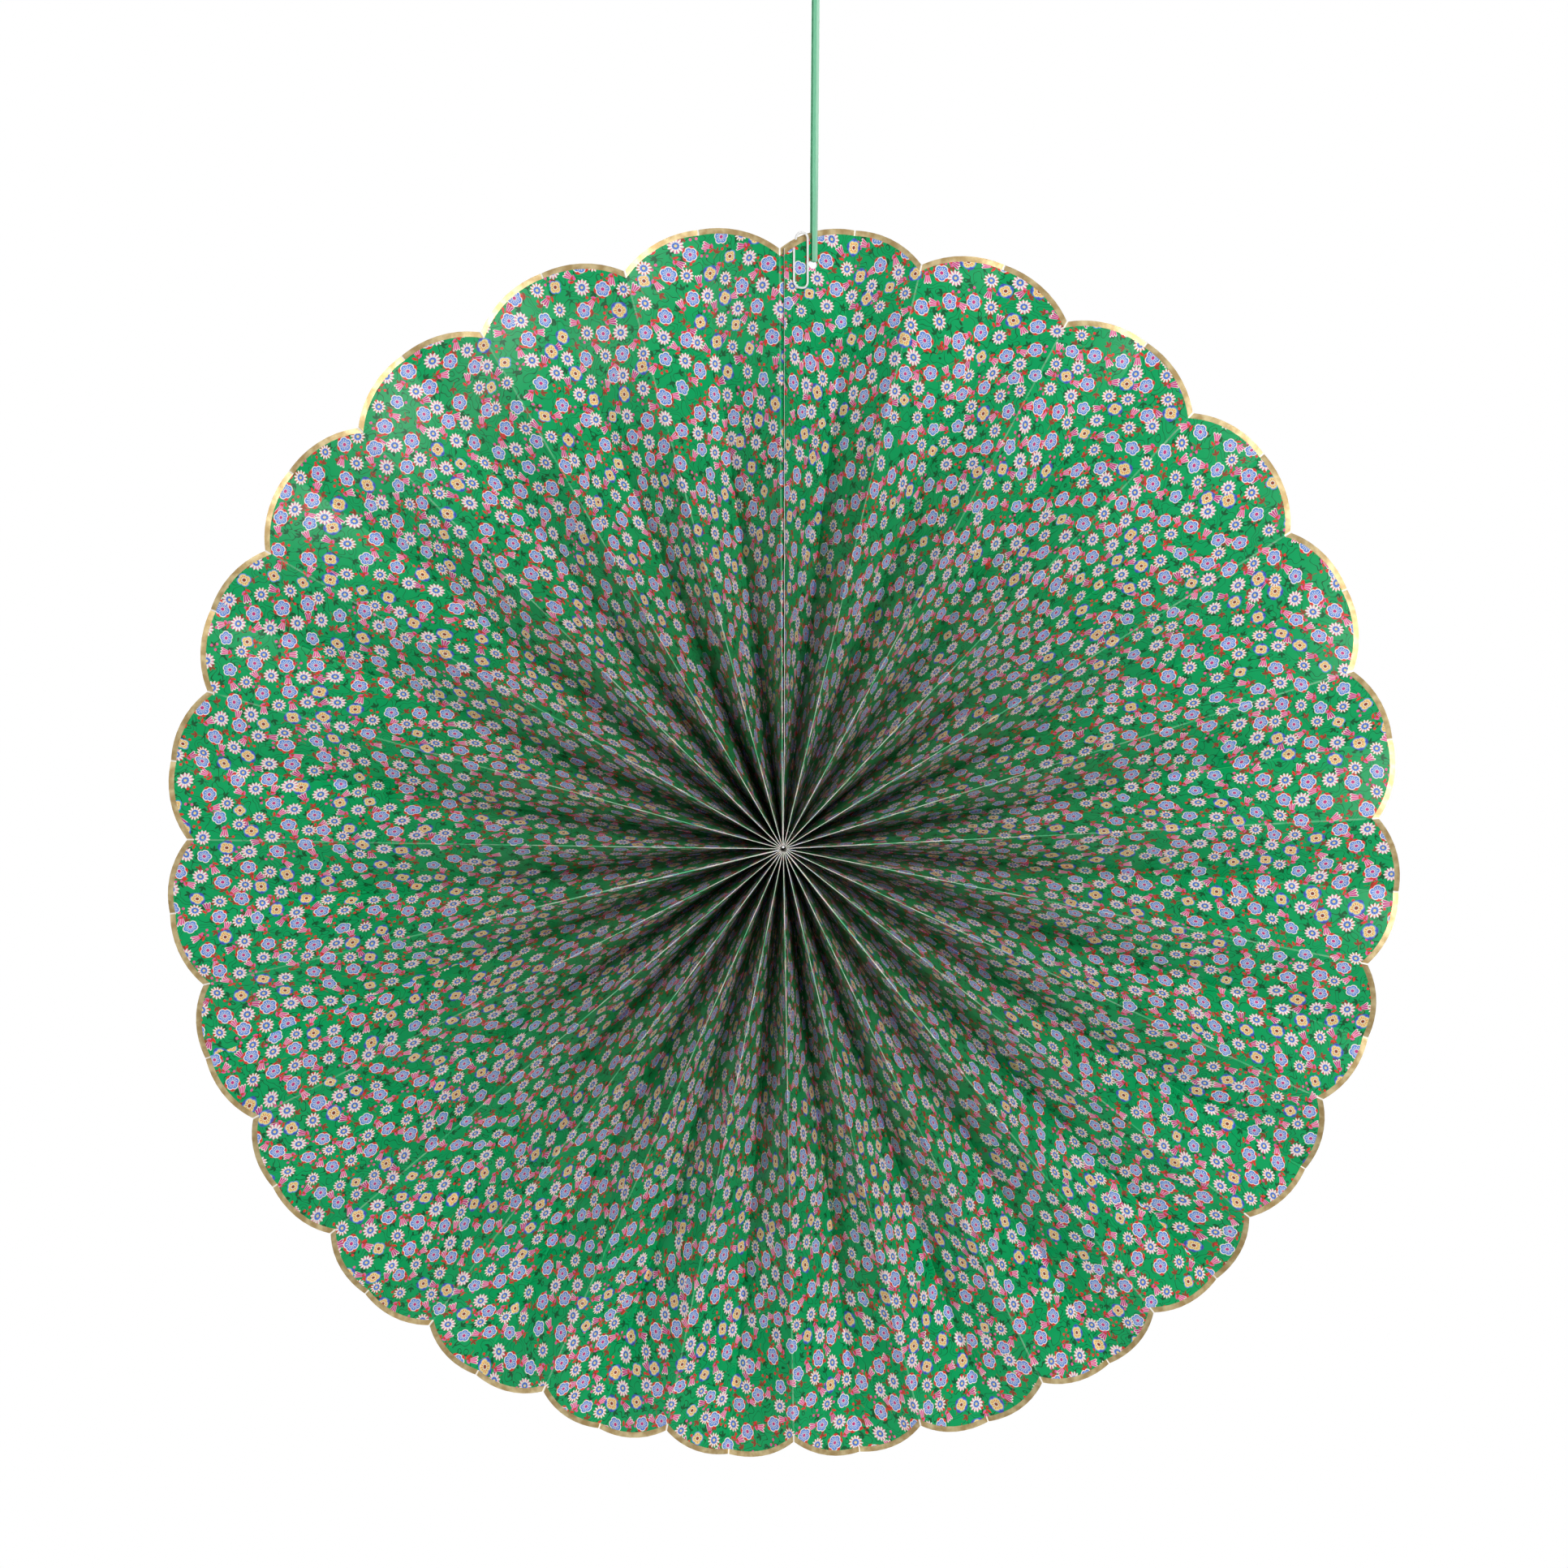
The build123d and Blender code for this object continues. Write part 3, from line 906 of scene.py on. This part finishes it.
def sampled(tree, table, name, index):
    """A number of the fold table, read at a fold."""
    value = add_node(tree, "GeometryNodeInputNamedAttribute", {"Name": name})
    value = value.outputs["Attribute"]
    inputs = {"Geometry": table, "Value": value, "Index": rounded(tree, index)}
    return Flow(tree, add_node(tree, "GeometryNodeSampleIndex", inputs).outputs["Value"])


print("tree helpers ready")

# %% [markdown]
# A flat grid is laid out, with a block of columns for each panel. For every grid point the tree
# finds its panel and how far across it lies. The columns stand closer together near the folds. The
# last panel of a sheet is the strip that hides behind the next sheet. The last row of the grid is
# the scalloped rim, and the row before it is the foil's inner edge, which follows the same scallop.
# At the hub the middle of each panel is pinched inwards.

# %% Find the spot of a grid point
COLUMNS = 13
ROWS = 44


def grid_spot(tree, size):
    """A grid point's row, its panel in the sheet, how far across it lies and if it is hidden."""
    node = tree.nodes.new("GeometryNodeInputPosition")
    grid_x, grid_y, _ = split(tree, node.outputs[0])
    column = ((grid_x + 0.5) * (size["Panels"] * size["Columns"] - 1) + 0.5).floor()
    row = ((grid_y + 0.5) * (size["Rows"] - 1) + 0.5).floor()
    local = ((column + 0.5) / size["Columns"]).floor()
    step = (column - local * size["Columns"]) / (size["Columns"] - 1)
    eased = 0.5 - (step * pi).cos() * 0.5
    hidden = local.over(size["Panels"] - 1.5)
    trim = (size["Start Trim"] / size["Panel Width"]) * local.under(0.5)
    shown = trim + eased * (1 - trim)
    share = shown.to(eased * size["Strip Width"] / size["Panel Width"], hidden)
    return row, local, share, hidden


def scalloped_edge(size, from_ridge):
    """Radius of the rim and of the foil's inner edge, and how the rim slants there."""
    width, depth = size["Panel Width"], size["Scallop Depth"]
    curve = (width * width + depth * depth) / (depth * 2)
    from_tip = width - from_ridge
    rise = (curve * curve - from_tip * from_tip).sqrt()
    rim = size["Notch Radius"] + rise - curve + depth
    foil_start = rim - size["Foil Width"] * curve / rise
    return rim, foil_start, rise / curve


def grid_radius(size, row, share, rim, foil_start):
    """Radius of a grid point, with closer rows near the pinched hub."""
    reach = (row / (size["Rows"] - 2)).math("MINIMUM", 1.0)
    reach = reach.to(reach * reach, 0.5)
    hub = size["Hub Radius"] - (share * pi).sin() * size["Hub Pinch"]
    radius = hub + reach * (foil_start - hub)
    return radius.to(rim, row.over(size["Rows"] - 1.5))


print("grid:", COLUMNS, "columns for each panel,", ROWS, "rows")

# %% [markdown]
# Then the point goes between the two folds of its panel. At the hub the panels are stacked side by
# side, and further out their folds spread and the pleats get shallower. Even folds lie at the front
# and odd ones at the back, so each panel slopes against the next. The panels are also bowed very
# slightly, each by its own amount, and the sheet's first edge lifts off the lap.

# %% Place the point on its panel
BOW_SEED = 3
EDGE_REACH = 3.0 * MM
EDGE_LIFTS_BETWEEN = (0.04, 0.2)


def panel_ends(tree, table, size, panel, radius, spread):
    """The panel's two folds at a radius, each with its place across the disc and its depth."""
    width, hub_radius = size["Panel Width"], size["Hub Radius"]
    outer = (radius / size["Notch Radius"]).math("POWER", 2.0)
    layer = sampled(tree, table, "hub_place", panel) + 0.5
    hub_across = layer * (2 * pi) / size["Layers"] * hub_radius
    slope = panel.math("MODULO", 2.0) * 2 - 1
    ends = []
    for fold, side in ((panel, 1), (panel + 1, -1)):
        angle = sampled(tree, table, "fold_angle", fold)
        rim_depth = sampled(tree, table, "rim_depth", fold)
        shift = (hub_across - angle * hub_radius) * (1 - spread)
        across = angle * radius + shift + spread * size["Crease"] * (side / 2)
        deep = (width - (width - rim_depth) * outer) / 2
        ends.append((across, deep * slope * side))
    return ends


def off_panel(tree, size, panel, share, spread, hidden):
    """How far a point lies behind its flat panel: a hidden strip, the bow and the lifted edge."""
    behind = hidden * size["Layer Pitch"] * (1 - size["Lap"] * (1 - spread * share))
    inputs = {"ID": rounded(tree, panel.math("MODULO", float(FOLDS))), "Seed": BOW_SEED}
    chance = add_node(tree, "FunctionNodeRandomValue", inputs, data_type="FLOAT")
    chance = Flow(tree, chance.outputs["Value"]) * 2 - 1
    bow = (share * pi).sin() * spread * size["Bow"] * chance
    near_edge = 1 - (share * size["Panel Width"]).ramp(0.0, EDGE_REACH)
    lifted = near_edge * panel.under(0.5) * spread.ramp(*EDGE_LIFTS_BETWEEN)
    return behind + bow - lifted * size["Edge Lift"]


def pleat_place(tree, table, size):
    """Where each grid point goes, its spot laid flat, and its distances from ridge and edge."""
    row, local, share, hidden = grid_spot(tree, size)
    width, hub_radius = size["Panel Width"], size["Hub Radius"]
    panel = local + size["First Panel"]
    from_ridge = share.to(1 - share, panel.math("MODULO", 2.0)) * width
    rim, foil_start, slant = scalloped_edge(size, from_ridge)
    radius = grid_radius(size, row, share, rim, foil_start)
    spread = (radius - hub_radius) / (size["Notch Radius"] - hub_radius)
    start, end = panel_ends(tree, table, size, panel, radius, spread)
    run_x, run_y = end[0] - start[0], end[1] - start[1]
    run = (run_x * run_x + run_y * run_y).sqrt()
    off = off_panel(tree, size, panel, share, spread, hidden)
    across = start[0] + run_x * share - run_y / run * off
    depth = start[1] + run_y * share + run_x / run * off
    turn = across / radius
    place = joined(tree, radius * turn.sin(), depth, radius * turn.cos())
    flat = (width + size["Crease"]) * local + share * width
    uv = joined(tree, flat + size["Print Shift"], radius)
    return place, uv, joined(tree, from_ridge, (rim - radius) * slant)


print("pleat rule defined")

# %% [markdown]
# At last the bent grid gets its thickness: it moves back by half the card, its front is raised by a
# whole card, and the two are joined and welded. So the front, the foil, the cut edges and the back
# can each have their own finish. Edges sharper than a set angle stay crisp, and the rest is smooth.

# %% Build the pleat tree
GLUE_TAB = 12.0 * MM
FOIL_WIDTH = 2.6 * MM
PANEL_BOW = 0.5 * MM
EDGE_LIFT = 0.5 * MM
HUB_PINCH = 1.3 * MM
WELD_DISTANCE = 0.002 * MM
SHARP_DEGREES = 50
PLEAT_SIZES = {
    "First Panel": 0,
    "Panels": SEAM_FOLDS[0] + 1,
    "Strip Width": GLUE_TAB,
    "Lap": 0.0,
    "Start Trim": 0.0,
    "Print Shift": 0.0,
    "Panel Width": PANEL_WIDTH,
    "Notch Radius": NOTCH_RADIUS,
    "Scallop Depth": SCALLOP_DEPTH,
    "Hub Radius": HUB_RADIUS,
    "Hub Pinch": HUB_PINCH,
    "Layers": LAYERS,
    "Layer Pitch": LAYER_PITCH,
    "Crease": CREASE,
    "Foil Width": FOIL_WIDTH,
    "Bow": PANEL_BOW,
    "Edge Lift": EDGE_LIFT,
    "Card": CARD,
    "Columns": COLUMNS,
    "Rows": ROWS,
}


def bent_grid(tree, table, size):
    """The grid bent into pleats, with the numbers that its finishes read."""
    inputs = {
        "Size X": 1.0,
        "Size Y": 1.0,
        "Vertices X": size["Panels"] * size["Columns"],
        "Vertices Y": size["Rows"],
    }
    grid = add_node(tree, "GeometryNodeMeshGrid", inputs).outputs["Mesh"]
    place, uv, marks = pleat_place(tree, table, size)
    for name, value in (("UVMap", uv), ("place", marks)):
        inputs = {"Name": name, "Value": value}
        kind = "GeometryNodeStoreNamedAttribute"
        grid = after(tree, kind, grid, inputs, data_type="FLOAT2", domain="CORNER")
    return after(tree, "GeometryNodeSetPosition", grid, {"Position": place})


def thickened(tree, sheet, size):
    """The sheet moved back by half the card, and the node that raises its front."""
    normal = tree.nodes.new("GeometryNodeInputNormal").outputs["Normal"]
    inputs = {0: normal, "Scale": size["Card"] * -0.5}
    half = add_node(tree, "ShaderNodeVectorMath", inputs, operation="SCALE")
    offset = {"Offset": half.outputs["Vector"]}
    back = after(tree, "GeometryNodeSetPosition", sheet, offset)
    inputs = {"Mesh": back, "Offset Scale": size["Card"], "Individual": False}
    return back, add_node(tree, "GeometryNodeExtrudeMesh", inputs)


def foil_faces(tree, front_faces, size):
    """The front faces of the last row, whose middles lie half a foil's width from the rim."""
    marks = add_node(
        tree, "GeometryNodeInputNamedAttribute", {"Name": "place"}, data_type="FLOAT_VECTOR"
    )
    _, from_edge, _ = split(tree, marks.outputs["Attribute"])
    inputs = {0: from_edge.under(size["Foil Width"] * 0.75), 1: front_faces}
    return add_node(tree, "FunctionNodeBooleanMath", inputs, operation="AND").outputs[0]


def smoothed(tree, sheet):
    """The sheet shaded smooth, apart from its sharp edges."""
    smooth = after(tree, "GeometryNodeSetShadeSmooth", sheet, {})
    angle = tree.nodes.new("GeometryNodeInputMeshEdgeAngle").outputs["Unsigned Angle"]
    sharp = Flow(tree, angle).over(radians(SHARP_DEGREES))
    inputs = {"Selection": sharp, "Shade Smooth": False}
    return after(tree, "GeometryNodeSetShadeSmooth", smooth, inputs, domain="EDGE")


def pleat_tree(finishes):
    """The tree that turns the fold table into one sheet."""
    tree, table, size = new_tree("Pleated sheet", PLEAT_SIZES)
    back, raised = thickened(tree, bent_grid(tree, table, size), size)
    front, front_faces = raised.outputs["Mesh"], raised.outputs["Top"]
    chosen = {
        "front": front_faces,
        "foil": foil_faces(tree, front_faces, size),
        "edge": raised.outputs["Side"],
    }
    for name, faces in chosen.items():
        inputs = {"Selection": faces, "Material": finishes[name]}
        front = after(tree, "GeometryNodeSetMaterial", front, inputs)
    flipped = add_node(tree, "GeometryNodeFlipFaces", {"Mesh": back}).outputs[0]
    rear = after(tree, "GeometryNodeSetMaterial", flipped, {"Material": finishes["back"]})
    whole = tree.nodes.new("GeometryNodeJoinGeometry")
    tree.links.new(front, whole.inputs[0])
    tree.links.new(rear, whole.inputs[0])
    weld = {"Distance": WELD_DISTANCE}
    closed = after(tree, "GeometryNodeMergeByDistance", whole.outputs[0], weld)
    sheet = after(tree, "GeometryNodeRealizeInstances", closed, {})
    add_node(tree, "NodeGroupOutput", {0: smoothed(tree, sheet)})
    return tree


card_finishes = {
    "front": printed_finish(),
    "foil": foil_finish(PANEL_WIDTH),
    "back": bare_card_finish("card_back", srgb(240, 238, 232), srgb(232, 229, 221)),
    "edge": bare_card_finish("card_edge", srgb(246, 245, 240), srgb(234, 232, 226)),
}
pleats = pleat_tree(card_finishes)
print("pleat tree nodes:", len(pleats.nodes))

# %% [markdown]
# ## Three sheets
#
# The strip is glued together from three sheets. Two of them end in a narrow glue tab behind the
# next sheet, and the last one ends in a whole panel that slides behind the first, where the clip
# holds it. So each sheet has one panel more than it shows. The print starts anew on each sheet, so
# it breaks at the joins. An input that a sheet doesn't name keeps the tree's own value, such as the
# width of the glue tab.

# %% Fold the three sheets
UNDERLAP_SHORT = 2.0 * MM
START_TRIM = 0.5 * MM
SHEETS = {
    "pleated_sheet_right": {
        "First Panel": 0,
        "Panels": SEAM_FOLDS[0] + 1,
        "Print Shift": 0.031,
    },
    "pleated_sheet_bottom": {
        "First Panel": SEAM_FOLDS[0],
        "Panels": SEAM_FOLDS[1] - SEAM_FOLDS[0] + 1,
        "Start Trim": START_TRIM,
        "Print Shift": 0.974,
    },
    "pleated_sheet_left": {
        "First Panel": SEAM_FOLDS[1],
        "Panels": FOLDS - SEAM_FOLDS[1] + 1,
        "Strip Width": PANEL_WIDTH - UNDERLAP_SHORT,
        "Lap": 1.0,
        "Start Trim": START_TRIM,
        "Print Shift": 1.852,
    },
}


def frozen(piece, name):
    """The evaluated piece as a plain mesh object, with its modifiers gone."""
    mesh = evaluated_mesh(piece)
    mesh.name = name
    plain = new_object(name, mesh)
    bpy.data.objects.remove(piece)
    return plain


def folded_sheet(node, sizes):
    """One sheet, folded by the tree."""
    base = new_object(node, folds)
    modifier = base.modifiers.new("pleats", "NODES")
    modifier.node_group = pleats
    for label, value in sizes.items():
        set_input(modifier, label, value)
    return frozen(base, "printed_" + node.removeprefix("pleated_"))


sheets = {node: folded_sheet(node, sizes) for node, sizes in SHEETS.items()}
for node, piece in sheets.items():
    print(node, "triangles:", sum(len(face.vertices) - 2 for face in piece.data.polygons))

# %% [markdown]
# ## The punched hole
#
# The hole goes through the first sheet and the panel behind it. It is cut with a Boolean, as a real
# punch would, square to the card. The ribbon has worn it a little wider across.

# %% Punch the hanging hole
HOLE_RADIUS = 2.15 * MM
HOLE_PLACE = Vector((0.0147, -0.0004, 0.2819))
HOLE_WORN = 1.12
PUNCH_LENGTH = 8 * MM


def punch():
    """A round tool, square to the card at the hole."""
    build = bmesh.new()
    sizes = {"radius1": HOLE_RADIUS, "radius2": HOLE_RADIUS, "depth": PUNCH_LENGTH}
    bmesh.ops.create_cone(build, cap_ends=True, segments=48, **sizes)
    turn = Matrix.Rotation(HOLE_ANGLE, 4, "Z") @ Matrix.Rotation(pi / 2, 4, "X")
    turn = turn @ Matrix.Scale(HOLE_WORN, 4, (1, 0, 0))
    bmesh.ops.transform(build, matrix=Matrix.Translation(HOLE_PLACE) @ turn, verts=build.verts)
    return built("punch", build)


def punched(piece, tool):
    """The piece with the tool's shape cut out."""
    cut = piece.modifiers.new("hole", "BOOLEAN")
    cut.operation = "DIFFERENCE"
    cut.solver = "EXACT"
    cut.object = tool
    name = piece.name
    piece.name = "uncut"
    return frozen(piece, name)


punch_tool = punch()
for node in ("pleated_sheet_right", "pleated_sheet_left"):
    sheets[node] = punched(sheets[node], punch_tool)
bpy.data.objects.remove(punch_tool)
for node, piece in sheets.items():
    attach(piece, "root")
    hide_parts(node)
    print(piece.name, "faces:", len(piece.data.polygons))

# %% [markdown]
# ## The wire clip
#
# The clip is steel wire in a smooth white vinyl skin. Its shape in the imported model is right, so it
# keeps that mesh and only gets a finish: a clean white with a soft shine and the faint unevenness
# of dipped vinyl.

# %% Finish the clip


def vinyl_finish():
    """Clean white vinyl with a soft shine."""
    finish, tree, shader = new_finish("white_vinyl", 0.28, IOR=1.48)
    cloud = noise(tree, object_place(tree), 260.0, 2.0)
    colour = colour_mix(tree, cloud, srgb(248, 248, 247), srgb(238, 238, 237))
    tree.links.new(colour, shader.inputs["Base Color"])
    add_bump(tree, shader, cloud, 0.08, 0.05 * MM)
    return finish


def refinish(node, finish):
    """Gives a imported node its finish."""
    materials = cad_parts[node].data.materials
    materials.clear()
    materials.append(finish)


refinish("paper_clip", vinyl_finish())
print("clip finished")

# %% [markdown]
# ## The ribbon's weave
#
# Narrow ribbon is woven tight: fine threads along it, crossed by finer ones. Two crossed waves on
# its UV map give that grain, and a slow change of tone gives it life. The half beyond the
# lengthwise crease is painted lighter, a painted highlight for the side that faces the light. Sheen
# gives the soft edge light of fabric. The thread spacing and the crease's place across are
# millimetres.

# %% Make the ribbon finish
MINT = srgb(104, 190, 146)
MINT_PALE = srgb(134, 208, 168)
MINT_LIT = srgb(176, 226, 198)
THREADS = 0.24
LIT_BEYOND = (0.08, 0.3)


def ribbon_finish(name, place, along_axis, lit_share):
    """Woven ribbon, with its threads laid out on the given place."""
    finish, tree, shader = new_finish(name, 0.55, Sheen_Weight=0.25, Sheen_Roughness=0.4)
    numbers = split(tree, place(tree))
    across, along = numbers[0] / MM, numbers[along_axis] / MM
    warp = (across * (2 * pi / THREADS)).sin()
    weft = (along * (2 * pi / THREADS)).sin()
    weave = (warp * weft) * 0.5 + 0.5
    tone = noise(tree, joined(tree, across * 3.0, along * 0.35), 1.0, 3.0).ramp(0.3, 0.7)
    colour = colour_mix(tree, tone * 0.5 + weave * 0.3, MINT, MINT_PALE)
    # Painted highlight: beyond the given place across the colour is painted lighter, as on the side
    # that faces the light; on the tape that is the half beyond the crease.
    colour = colour_mix(tree, across.ramp(*LIT_BEYOND) * lit_share, colour, MINT_LIT)
    tree.links.new(colour, shader.inputs["Base Color"])
    add_bump(tree, shader, weave, 0.5, 0.04 * MM)
    return finish


hanging_tape.data.materials.append(ribbon_finish("mint_ribbon", uv_place, 1, 0.75))
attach(hanging_tape, "root")
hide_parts("hanging_ribbon")
print("ribbon finished")

# %% [markdown]
# ## The knot
#
# Above the picture the two ends meet in an overhand knot with two short tails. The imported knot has
# no UV map, so its weave reads the knot's own place in space.

# %% Finish the knot
refinish("ribbon_knot", ribbon_finish("mint_knot", object_place, 2, 0.3))
print("knot finished")

# %% [markdown]
# ## The thread at the hub
#
# A cotton thread runs through all the layers near the hub and gathers them.

# %% Finish the thread


def thread_finish():
    """Twisted cotton with fine strands."""
    finish, tree, shader = new_finish("cotton_thread", 0.85)
    strands = noise(tree, object_place(tree), 3000.0, 2.0)
    colour = colour_mix(tree, strands, srgb(236, 232, 222), srgb(210, 205, 192))
    tree.links.new(colour, shader.inputs["Base Color"])
    add_bump(tree, shader, strands, 0.5, 0.1 * MM)
    return finish


refinish("hub_thread", thread_finish())
print("thread finished")
